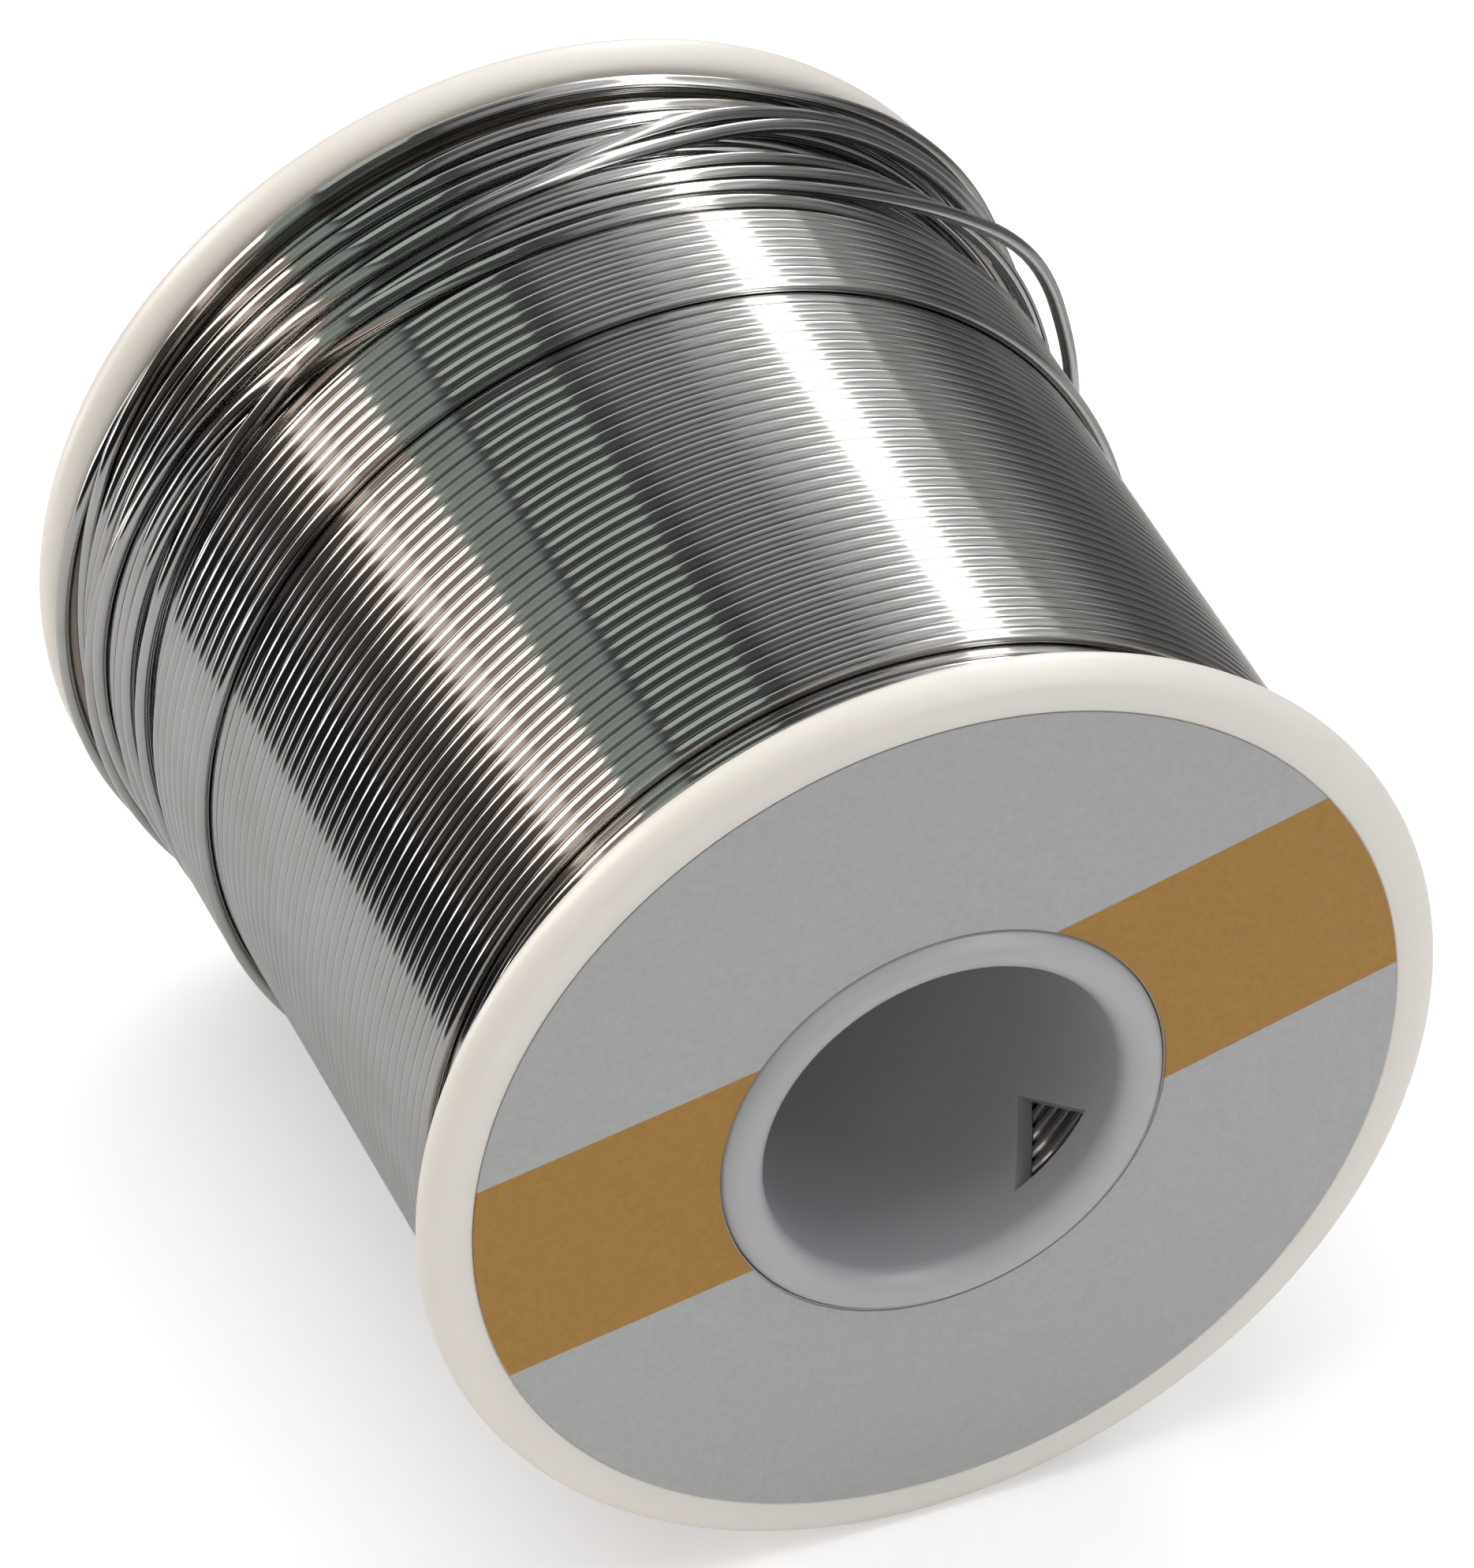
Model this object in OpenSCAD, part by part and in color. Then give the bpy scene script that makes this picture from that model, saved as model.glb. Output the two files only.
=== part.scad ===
// Solder wire spool, lying on its side. A moulded barrel carries a pressed-on flange
// and a round paper label at each end, and one long cored solder wire is wound on it
// in level layers, with its last turns lying slack against the far flange.
// Millimetres, +Z up. The spool's axis runs along Y, from the near flange at -Y to
// the far flange at +Y, and the origin is the middle of the bore. Angles round the
// spool are counted from +X towards +Z.

/* [Spool body] */
// Outside diameter of the two flanges
flange_d = 54; // [48:0.5:64]
// Length over the barrel's rounded ends
spool_len = 57.2; // [56:0.1:60]
// Length over the rims of the two flanges
rims_len = 55; // [50:0.5:55.5]
// Diameter of the bore that turns on a spindle
bore_d = 19; // [12:0.1:22]
// Wall of the barrel's ends, which stand through the flanges
end_wall = 2.3; // [1.5:0.1:3]
// Height of the shoulder on the barrel that each flange is pressed against
shoulder = 0.25; // [0.2:0.05:0.6]
// Wall of the barrel's tube between its thicker ends
tube_wall = 1.11; // [0.8:0.01:1.7]
// Length of the collar that carries each shoulder
collar_len = 1; // [0.6:0.1:2]

/* [Flanges] */
// Thickness of a flange at its rounded rim
rim_t = 2.4; // [1.8:0.1:3]
// How far the flange's inner face dishes outwards from the rim to the barrel
dish_in = 0.65; // [0:0.05:0.8]
// How far the flange's outer face rises from the label's edge to the barrel
dish_out = 0.5; // [0:0.05:0.6]
// Width of the bare rim outside the label's recess
rim_w = 2.4; // [1.6:0.1:4]
// Play between the flange's hole and the barrel's end
press_play = 0.02; // [0:0.01:0.1]

/* [Starting notch] */
// Width of the three-sided notch where it meets the flange
notch_w = 5.6; // [3:0.1:7]
// Length of the notch along the barrel
notch_len = 4.7; // [3:0.1:8]
// Angle of the notch round the barrel
notch_angle = 317.7; // [0:0.1:360]

/* [Labels] */
// Thickness of the paper label
label_t = 0.12; // [0.08:0.01:0.2]
// Play between the label and its recess, and between its hole and the barrel
label_play = 0.12; // [0.05:0.01:0.3]

/* [Solder wire] */
// Diameter of the solder wire
wire_d = 0.8; // [0.7:0.05:1]
// Play between turns and layers
wire_play = 0.03; // [0.02:0.01:0.06]
// How far the level layers stay below the rim of the flanges
fill_gap = 1.6; // [1.4:0.1:6]
// Distance from the near flange to the first turn of the top layer
near_step = 3.3; // [1:0.1:8]
// Place along the spool of the short extra layer's first turn
extra_start = 7.4; // [0:0.1:9]
// Number of turns in the short extra layer
extra_turns = 8; // [4:1:8]

/* [Hidden] */
$fn = 96;

flange_r = flange_d / 2;
bore_r = bore_d / 2;
end_r = bore_r + end_wall;
barrel_r = end_r + shoulder;
tube_r = bore_r + tube_wall;

// The flanges: rim, inner face and the barrel's shoulder they seat on
rim_r = rim_t / 2;
rim_mid = rims_len / 2 - rim_r;
face_rim = rims_len / 2 - rim_t;
face_hub = face_rim + dish_in;
collar_y = face_hub - collar_len;
recess_r = flange_r - rim_w;
face_slope = dish_in / (recess_r - end_r);

// The labels, flush with the rim at their outer edge
seat_rim = rims_len / 2 - label_t;
label_r = recess_r - label_play;
label_hole_r = end_r + label_play;

// The wound layers: each lies in the grooves of the one below
pitch = wire_d + wire_play;
wire_r = wire_d / 2;
layer_rise = sqrt(pow(pitch, 2) - pow(pitch / 2, 2));
first_r = tube_r + wire_r + 0.01;
layers = floor((flange_r - fill_gap - wire_r - first_r) / layer_rise) + 1;
top_r = first_r + (layers - 1) * layer_rise;
under_r = top_r - layer_rise;
extra_r = top_r + layer_rise;
top_start = near_step + wire_r - face_rim;
top_turns = floor((face_rim - wire_r - top_start) / pitch) + 1;
extra_first = top_start + (ceil((extra_start - top_start) / pitch) - 0.5) * pitch;
extra_last = extra_first + (extra_turns - 1) * pitch;
first_turns = floor((2 * collar_y - wire_d) / pitch) + 1;
under_start = top_start - (floor((near_step - pitch / 2) / pitch) + 0.5) * pitch;
under_turns = floor((face_rim - wire_r - under_start) / pitch) + 1;

// The slack turns: each row is one turn's place along the spool, at the angles in
// stations, as a distance from the far flange. Later rows lie over earlier ones.
stations = [5, 28, 50, 64, 80, 96, 114, 132, 148, 162, 176, 200, 240, 300];
flat_rows = [
    [10.8, 11.0, 11.1, 11.1, 11.4, 11.4, 10.7,  9.4,  8.4,  7.9,  7.7,  7.6,  8.2,  9.8],
    [ 7.8,  7.4,  7.5,  8.0,  8.6,  8.7,  8.9,  8.6,  7.6,  7.0,  6.8,  6.8,  7.2,  7.9],
    [ 6.6,  6.0,  6.0,  6.7,  7.5,  7.8,  7.9,  7.7,  6.7,  6.1,  5.9,  5.9,  6.3,  7.0],
    [ 3.9,  3.6,  3.6,  4.1,  4.7,  4.9,  5.0,  4.6,  4.4,  4.1,  3.9,  3.9,  4.0,  4.1],
    [ 2.9,  2.7,  2.7,  3.1,  3.5,  3.7,  3.6,  3.4,  3.3,  3.2,  3.1,  3.0,  3.0,  3.0],
    [ 2.0,  1.9,  1.9,  2.2,  2.4,  2.3,  2.6,  2.4,  2.2,  2.2,  2.2,  2.1,  2.1,  2.1],
    [ 1.3,  1.3,  1.3,  1.2,  1.0,  0.9,  0.9,  1.0,  1.2,  1.3,  1.3,  1.3,  1.3,  1.3]];
cross_rows = [
    [ 5.0,  4.4,  4.0,  4.6,  6.2,  7.4,  7.7,  7.1,  6.4,  5.8,  5.4,  5.1,  5.0,  5.1],
    [ 3.0,  2.9,  3.0,  3.7,  5.2,  6.4,  6.8,  6.2,  5.5,  4.9,  4.4,  3.8,  3.2,  3.0]];
outer_row = [for (i = [1 : len(stations)]) 0.45];
loop_row = [9.0, 8.1, 8.7, 9.3, 9.7, 9.8, 9.8, 9.8, 9.8, 9.7, 9.7, 9.7, 9.7, 9.6];

// How far each turn springs off the wires below it, at which angle, and how far
// round to both sides
outer_spring = [1.2, 210, 85];
flat_springs = [[0, 0, 1], [0.9, 32, 38], [0, 0, 1], [0, 0, 1], [0, 0, 1], [0, 0, 1], [0.8, 32, 38]];
cross_springs = [[0.6, 32, 38], [0.5, 32, 38]];
loop_spring = [1, 24, 42];

// Rings along one slack turn, and how often its height is evened out
rings = 72;
evenings = 6;

// --- moulded body -------------------------------------------------------------

// A three-sided wedge that points along the barrel and cuts through its wall
module notch_cut() {
    translate([0, -face_hub, 0])
        rotate([0, 90 - notch_angle, 0])
            linear_extrude(height = barrel_r + 1)
                polygon([[-notch_w / 2, 0], [notch_w / 2, 0], [0, notch_len]]);
}

// Half of the barrel's outline: tube, and a collar and a rounded end on each side
module barrel_outline() {
    tip = spool_len / 2 - end_wall / 2;
    translate([bore_r, -tip])
        square([tube_wall, 2 * tip]);
    for (end = [0, 1])
        mirror([0, end]) {
            translate([bore_r, collar_y])
                square([end_wall, tip - collar_y]);
            translate([bore_r, collar_y])
                square([barrel_r - bore_r, collar_len]);
            translate([bore_r + end_wall / 2, tip])
                circle(d = end_wall);
        }
}

module barrel() {
    color("gainsboro")
        difference() {
            rotate([90, 0, 0])
                rotate_extrude()
                    barrel_outline();
            notch_cut();
        }
}

// Outline of a flange: rounded rim, sloping inner face and the label's recess
module flange_outline() {
    hole_r = end_r + press_play;
    edge_r = flange_r - rim_r;
    polygon([
        [hole_r, face_hub],
        [recess_r, face_rim],
        [edge_r, face_rim],
        [edge_r, rims_len / 2],
        [recess_r, rims_len / 2],
        [recess_r, seat_rim],
        [hole_r, seat_rim + dish_out]]);
    translate([edge_r, rim_mid])
        circle(r = rim_r);
}

module flange() {
    color("whitesmoke")
        rotate([-90, 0, 0])
            rotate_extrude()
                flange_outline();
}

module near_flange() {
    mirror([0, 1, 0])
        flange();
}

module far_flange() {
    flange();
}

// --- paper labels -------------------------------------------------------------

// A ring of paper that follows the slope of its seat
module label() {
    slope = dish_out / (recess_r - end_r - press_play);
    hole_y = seat_rim + (recess_r - label_hole_r) * slope;
    edge_y = seat_rim + (recess_r - label_r) * slope;
    color("silver")
        rotate([-90, 0, 0])
            rotate_extrude()
                polygon([
                    [label_hole_r, hole_y],
                    [label_r, edge_y],
                    [label_r, edge_y + label_t],
                    [label_hole_r, hole_y + label_t]]);
}

module near_label() {
    mirror([0, 1, 0])
        label();
}

module far_label() {
    label();
}

// --- level layers of wire -----------------------------------------------------

// Outline of a row of turns, joined by a thin strip where they touch
module row_outline(r, start, turns) {
    for (i = [0 : turns - 1])
        translate([r, start + i * pitch])
            circle(r = wire_r, $fn = 48);
    translate([r - wire_r / 4, start])
        square([wire_r / 2, (turns - 1) * pitch]);
}

module row(r, start, turns) {
    color("darkgray")
        rotate([-90, 0, 0])
            rotate_extrude()
                row_outline(r, start, turns);
}

// The turns that lie on the barrel and show through the starting notch
module first_layer() {
    row(first_r, -(first_turns - 1) * pitch / 2, first_turns);
}

// Outline of the hidden layers, stepped round the barrel's collars
module layers_outline() {
    inner_r = first_r + wire_r + 0.01;
    step_r = barrel_r + 0.02;
    outer_r = under_r + wire_r / 8;
    half = [
        [inner_r, collar_y - 0.02],
        [step_r, collar_y - 0.02],
        [step_r, face_rim + (recess_r - step_r) * face_slope - 0.02],
        [outer_r, face_rim + (recess_r - outer_r) * face_slope - 0.02]];
    polygon(concat([for (p = half) [p[0], -p[1]]], [for (i = [3 : -1 : 0]) half[i]]));
}

// All the layers between the first and the top one, with the turns of their
// outermost layer in relief where the top layer doesn't reach
module inner_layers() {
    color("darkgray")
        rotate([-90, 0, 0])
            rotate_extrude() {
                layers_outline();
                row_outline(under_r, under_start, under_turns);
            }
}

module top_layer() {
    row(top_r, top_start, top_turns);
}

module extra_layer() {
    row(extra_r, extra_first, extra_turns);
}

// --- slack turns --------------------------------------------------------------

function wrap(i) = (i + len(stations)) % len(stations);
function station(i) = stations[wrap(i)] + 360 * floor(i / len(stations));
function slope_at(row, i) =
    (row[wrap(i + 1)] - row[wrap(i - 1)]) / (station(i + 1) - station(i - 1));

// Smooth value of a row at any angle, closed round the spool
function value_at(row, angle) =
    let (
        a = angle < stations[0] ? angle + 360 : angle,
        i = max([for (k = [0 : len(stations) - 1]) if (stations[k] <= a) k]),
        span = station(i + 1) - station(i),
        t = (a - station(i)) / span,
        from = row[i],
        to = row[wrap(i + 1)],
        from_slope = slope_at(row, i) * span,
        to_slope = slope_at(row, i + 1) * span)
    (2 * pow(t, 3) - 3 * pow(t, 2) + 1) * from + (pow(t, 3) - 2 * pow(t, 2) + t) * from_slope
    + (3 * pow(t, 2) - 2 * pow(t, 3)) * to + (pow(t, 3) - pow(t, 2)) * to_slope;

function ring_angle(i) = 360 * i / rings;
function place_row(row) = [for (i = [0 : rings - 1]) face_rim - value_at(row, ring_angle(i))];

// Height at which a wire at y rests on a wire whose centre is at (r, at)
function over(r, at, y) =
    abs(y - at) < pitch ? r + sqrt(pow(pitch, 2) - pow(y - at, 2)) : 0;

// Height at which a wire rests on the level layers
function rest(y) = max(top_r + pitch, y < extra_last ? extra_r + pitch : over(extra_r, extra_last, y));

// Height of a turn at each ring, over the turns that lie there already
function raised(ys, laid) =
    [for (i = [0 : rings - 1])
        max(concat([rest(ys[i])], [for (turn = laid) over(turn[i][0], turn[i][1], ys[i])]))];
function eased(rs) =
    [for (i = [0 : rings - 1])
        (rs[(i + rings - 1) % rings] + 2 * rs[i] + rs[(i + 1) % rings]) / 4];
function widened(rs) =
    [for (i = [0 : rings - 1]) max(rs[(i + rings - 1) % rings], rs[i], rs[(i + 1) % rings])];
function evened(rs, times) = times == 0 ? rs : evened(eased(rs), times - 1);

// A smooth lift of a turn round one angle
function lift(i, spring) =
    let (d = abs((ring_angle(i) - spring[1] + 540) % 360 - 180))
    d < spring[2] ? spring[0] * pow(cos(90 * d / spring[2]), 2) : 0;

// Lays the turns one after another, each over all those before it
function lay(rows, springs, laid) =
    len(laid) == len(rows) ? laid :
    let (
        k = len(laid),
        ys = place_row(rows[k]),
        rs = raised(ys, laid),
        even = evened(widened(rs), evenings),
        turn = [for (i = [0 : rings - 1]) [max(rs[i], even[i]) + lift(i, springs[k]), ys[i]]])
    lay(rows, springs, concat(laid, [turn]));

all_turns = lay(
    concat([outer_row], flat_rows, cross_rows, [loop_row]),
    concat([outer_spring], flat_springs, cross_springs, [loop_spring]),
    []);

// A closed wire swept through a turn's rings
module wire_turn(turn) {
    sides = 8;
    points = [for (i = [0 : rings - 1]) for (s = [0 : sides - 1])
        let (
            r = turn[i][0] + wire_r * cos(360 * s / sides),
            y = turn[i][1] + wire_r * sin(360 * s / sides))
        [r * cos(ring_angle(i)), y, r * sin(ring_angle(i))]];
    faces = [for (i = [0 : rings - 1]) for (s = [0 : sides - 1])
        let (
            j = (i + 1) % rings,
            t = (s + 1) % sides)
        [i * sides + s, i * sides + t, j * sides + t, j * sides + s]];
    color("darkgray")
        polyhedron(points, faces, convexity = 4);
}

module slack_turns() {
    for (k = [1 : len(flat_rows)])
        wire_turn(all_turns[k]);
}

module crossing_turns() {
    for (k = [1 : len(cross_rows)])
        wire_turn(all_turns[len(flat_rows) + k]);
}

module outermost_turn() {
    wire_turn(all_turns[0]);
}

module standing_loop() {
    wire_turn(all_turns[len(all_turns) - 1]);
}

barrel();
near_flange();
far_flange();
near_label();
far_label();
first_layer();
inner_layers();
top_layer();
extra_layer();
slack_turns();
crossing_turns();
outermost_turn();
standing_loop();
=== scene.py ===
import math

import bmesh
import bpy
from mathutils import Matrix, Vector


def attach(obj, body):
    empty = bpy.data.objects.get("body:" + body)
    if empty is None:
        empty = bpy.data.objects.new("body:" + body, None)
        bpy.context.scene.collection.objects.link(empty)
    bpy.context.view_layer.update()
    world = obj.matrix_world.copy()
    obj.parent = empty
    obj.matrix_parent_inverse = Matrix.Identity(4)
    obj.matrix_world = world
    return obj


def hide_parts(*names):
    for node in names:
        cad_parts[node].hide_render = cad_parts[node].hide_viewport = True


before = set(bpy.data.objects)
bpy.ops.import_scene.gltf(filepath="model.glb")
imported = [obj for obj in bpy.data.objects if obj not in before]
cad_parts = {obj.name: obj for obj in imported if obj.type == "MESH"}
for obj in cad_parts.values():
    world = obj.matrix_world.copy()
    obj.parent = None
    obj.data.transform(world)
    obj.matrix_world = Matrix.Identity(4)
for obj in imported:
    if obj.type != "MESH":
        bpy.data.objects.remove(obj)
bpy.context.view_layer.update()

# ---------------------------------------------------------------- studio
# A pale tabletop, a camera that looks down on the spool from its near flange, a glowing
# shell painted with the reflections that only the bright wire mirrors, and soft lamps. The
# table is white where the spool lies and is painted grey further out, as painted shade.

scene = bpy.context.scene
scene.view_settings.view_transform = "Standard"

eye = Vector((-0.18246, -0.43926, 0.40597))
looked_at = Vector((0.000534, -0.000406, -0.000198))
towards_eye = (eye - looked_at).normalized()

lens = bpy.data.cameras.new("camera")
lens.sensor_width = 36
lens.lens = 284.71
lens.clip_start = 0.02
lens.clip_end = 20
camera = bpy.data.objects.new("camera", lens)
camera.location = eye
camera.rotation_euler = (-towards_eye).to_track_quat("-Z", "Y").to_euler()
scene.collection.objects.link(camera)
scene.camera = camera


def linear(hex_colour):
    """An sRGB hex colour as linear red, green, blue and alpha."""
    parts = [int(hex_colour[i:i + 2], 16) / 255 for i in (1, 3, 5)]
    return [c / 12.92 if c <= 0.04045 else ((c + 0.055) / 1.055) ** 2.4 for c in parts] + [1.0]


def add(tree, kind, settings=None, links=None):
    """A new node: settings holds its properties and socket values, links the sockets fed to it."""
    node = tree.nodes.new(kind)
    for key, value in (settings or {}).items():
        if isinstance(key, str) and hasattr(node, key):
            setattr(node, key, value)
        else:
            node.inputs[key].default_value = value
    for key, source in (links or {}).items():
        tree.links.new(source, node.inputs[key])
    return node


def stops(ramp, *points):
    """Sets a colour ramp's stops, each a place and a hex colour."""
    elements = ramp.color_ramp.elements
    while len(elements) > 1:
        elements.remove(elements[-1])
    for i, (place, colour) in enumerate(points):
        stop = elements[0] if i == 0 else elements.new(place)
        stop.position = place
        stop.color = linear(colour)


def new_finish(name):
    """A new material, its node tree and its surface shader."""
    material = bpy.data.materials.new(name)
    material.use_nodes = True
    return material, material.node_tree, material.node_tree.nodes["Principled BSDF"]


def staged(name, form, material):
    """A stage piece made from a bmesh."""
    mesh = bpy.data.meshes.new(name)
    form.to_mesh(mesh)
    form.free()
    mesh.materials.append(material)
    item = bpy.data.objects.new(name, mesh)
    scene.collection.objects.link(item)
    return item


# Matt white tabletop: no gloss at all, so it shows only the spool's soft shadow. Further
# out it is painted grey, a painted shade. In the wire's mirror it is painted darker than it
# is, and given a painted glow that is stronger on the right of the spool.
table_z = -0.02702
white_to, grey_from = 0.10, 0.34
right_from, right_to = 0.03, 0.045
painted_mirror_shade, painted_mirror_glow_left, painted_mirror_glow_right = 0.3, 0.1, 0.25
open_lift = 0.3

tabletop, tree, surface = new_finish("matt_white_tabletop_painted_shade_and_glow")
place = add(tree, "ShaderNodeTexCoord")
distance = add(tree, "ShaderNodeVectorMath", {"operation": "LENGTH"}, {0: place.outputs["Object"]})
# Painted shade: the table turns grey further out from the spool.
fall = add(tree, "ShaderNodeMapRange",
           {"interpolation_type": "SMOOTHSTEP", "From Min": white_to, "From Max": grey_from},
           {"Value": distance.outputs["Value"]})
shade = add(tree, "ShaderNodeValToRGB", {}, {"Fac": fall.outputs["Result"]})
stops(shade, (0.0, "#fbfbfb"), (1.0, "#d2d2d2"))
rays = add(tree, "ShaderNodeLightPath")
# Painted shade in the mirror: mirrored rays see the table's colour cut.
dimmer = add(tree, "ShaderNodeMath", {"operation": "MULTIPLY_ADD", 1: -painted_mirror_shade, 2: 1.0},
             {0: rays.outputs["Is Glossy Ray"]})
tone = add(tree, "ShaderNodeVectorMath", {"operation": "SCALE"},
           {0: shade.outputs["Color"], "Scale": dimmer.outputs["Value"]})
tree.links.new(tone.outputs["Vector"], surface.inputs["Base Color"])
surface.inputs["Roughness"].default_value = 0.9
surface.inputs["Specular IOR Level"].default_value = 0.0
surface.inputs["Emission Color"].default_value = (1, 1, 1, 1)
axes = add(tree, "ShaderNodeSeparateXYZ", {}, {0: place.outputs["Object"]})
# Painted glow in the mirror: mirrored rays see the table glow, more on the right.
rightward = add(tree, "ShaderNodeMapRange",
                {"From Min": right_from, "From Max": right_to,
                 "To Min": painted_mirror_glow_left, "To Max": painted_mirror_glow_right},
                {"Value": axes.outputs["X"]})
mirrored = add(tree, "ShaderNodeMath", {"operation": "MULTIPLY"},
               {0: rightward.outputs["Result"], 1: rays.outputs["Is Glossy Ray"]})
painted_glow_strength = add(tree, "ShaderNodeMath", {"operation": "MULTIPLY_ADD", 1: open_lift},
           {0: rays.outputs["Is Camera Ray"], 2: mirrored.outputs["Value"]})
tree.links.new(painted_glow_strength.outputs["Value"], surface.inputs["Emission Strength"])

table_form = bmesh.new()
bmesh.ops.create_circle(table_form, cap_ends=True, radius=2.5, segments=96)
bmesh.ops.translate(table_form, verts=table_form.verts, vec=(0, 0, table_z))
staged("table", table_form, tabletop)

world = bpy.data.worlds.new("pale_room")
scene.world = world
world.use_nodes = True
world.node_tree.nodes["Background"].inputs["Color"].default_value = (0.9, 0.92, 0.95, 1)
world.node_tree.nodes["Background"].inputs["Strength"].default_value = 0.3


def mirrored_only(item):
    """Makes a stage piece show in reflections and nowhere else."""
    item.visible_camera = item.visible_diffuse = item.visible_shadow = False
    item.visible_transmission = item.visible_volume_scatter = False


def glowing(name):
    """A new material that only glows, its node tree and its glow, whose colour is still to be fed."""
    material, tree, surface = new_finish(name)
    tree.nodes.remove(surface)
    glow = add(tree, "ShaderNodeEmission")
    tree.links.new(glow.outputs["Emission"], tree.nodes["Material Output"].inputs["Surface"])
    return material, tree, glow


# The dim room is a shell that glows and shows only in reflections: it is painted with the
# wire's reflections, bands of painted highlight where a ceiling lamp on the right and a
# window on the left would mirror, and painted shade between them. It is painted by the
# direction halfway between the eye and each spot of the room, which is the way the
# wire's skin has to face to mirror that spot. "Turn" is that direction's angle round the
# spool in degrees, from the right over the top. "Lean" is its slant along the spool.
room_painted_reflections, tree, glow = glowing("painted_reflections_room")
place = add(tree, "ShaderNodeTexCoord")
outward = add(tree, "ShaderNodeVectorMath", {"operation": "NORMALIZE"}, {0: place.outputs["Object"]})
between = add(tree, "ShaderNodeVectorMath", {"operation": "ADD", 1: towards_eye},
              {0: outward.outputs["Vector"]})
facing = add(tree, "ShaderNodeVectorMath", {"operation": "NORMALIZE"}, {0: between.outputs["Vector"]})
axes = add(tree, "ShaderNodeSeparateXYZ", {}, {0: facing.outputs["Vector"]})
turn = add(tree, "ShaderNodeMath", {"operation": "ARCTAN2"}, {0: axes.outputs["Z"], 1: axes.outputs["X"]})

wall_first, wall_last = 20, 160
span = add(tree, "ShaderNodeMapRange",
           {"From Min": math.radians(wall_first), "From Max": math.radians(wall_last)},
           {"Value": turn.outputs["Value"]})
painted_wall_tones = add(tree, "ShaderNodeValToRGB", {}, {"Fac": span.outputs["Result"]})
# Painted reflection tones, light and shade, that the wire mirrors at each turn.
painted_wall_colours = (
    (20, "#d8d2d0"), (33, "#cfc9c7"), (38, "#8a8886"), (42, "#706e6c"), (56, "#6e6e6c"), (64, "#aaaaa8"),
    (68.4, "#bcbcba"), (69.2, "#e8e8e6"), (84, "#fafaf8"), (88, "#e2e2e2"), (92, "#c0c0c0"),
    (101, "#8a8a8a"), (103, "#525654"), (117.5, "#525654"), (118.5, "#a8b4ae"), (124.4, "#a4b1a8"),
    (125, "#a89a94"), (133.5, "#ac968a"), (134.5, "#6c5a50"), (139, "#544c48"), (151, "#4e4a46"))
stops(painted_wall_tones, *(((at - wall_first) / (wall_last - wall_first), colour) for at, colour in painted_wall_colours))
cloud = add(tree, "ShaderNodeTexNoise", {"Scale": 1.1, "Detail": 1.0}, {"Vector": place.outputs["Object"]})
drift = add(tree, "ShaderNodeMapRange", {"From Min": 0.3, "From Max": 0.7, "To Min": 0.65, "To Max": 1.3},
            {"Value": cloud.outputs["Fac"]})
patchy = add(tree, "ShaderNodeVectorMath", {"operation": "SCALE"},
             {0: painted_wall_tones.outputs["Color"], "Scale": drift.outputs["Result"]})


def painted_band(behind, turns, lean, half, colour, strength, soft=0.15):
    """A band of painted highlight or painted shade over what is behind it. It opens from the
    first turn to the second and closes from the third to the last. Its middle is at that lean,
    and half is its reach to each side."""
    first, full, closing, last = (math.radians(t) for t in turns)
    here = turn.outputs["Value"]
    opens = add(tree, "ShaderNodeMapRange", {"From Min": first, "From Max": full, "To Max": half},
                {"Value": here})
    closes = add(tree, "ShaderNodeMapRange", {"From Min": last, "From Max": closing, "To Max": half},
                 {"Value": here})
    reach = add(tree, "ShaderNodeMath", {"operation": "MINIMUM"}, {0: opens.outputs[0], 1: closes.outputs[0]})
    off = add(tree, "ShaderNodeMath", {"operation": "SUBTRACT", 1: lean}, {0: axes.outputs["Y"]})
    away = add(tree, "ShaderNodeMath", {"operation": "ABSOLUTE"}, {0: off.outputs[0]})
    inside = add(tree, "ShaderNodeMath", {"operation": "SUBTRACT"}, {0: reach.outputs[0], 1: away.outputs[0]})
    share = add(tree, "ShaderNodeMapRange", {"From Max": soft}, {"Value": inside.outputs[0]})
    lit = [c * strength for c in linear(colour)[:3]]
    blend = add(tree, "ShaderNodeMix", {"data_type": "VECTOR", 5: lit},
                {"Factor": share.outputs[0], 4: behind})
    return blend.outputs[1]


seen = patchy.outputs["Vector"]
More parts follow.
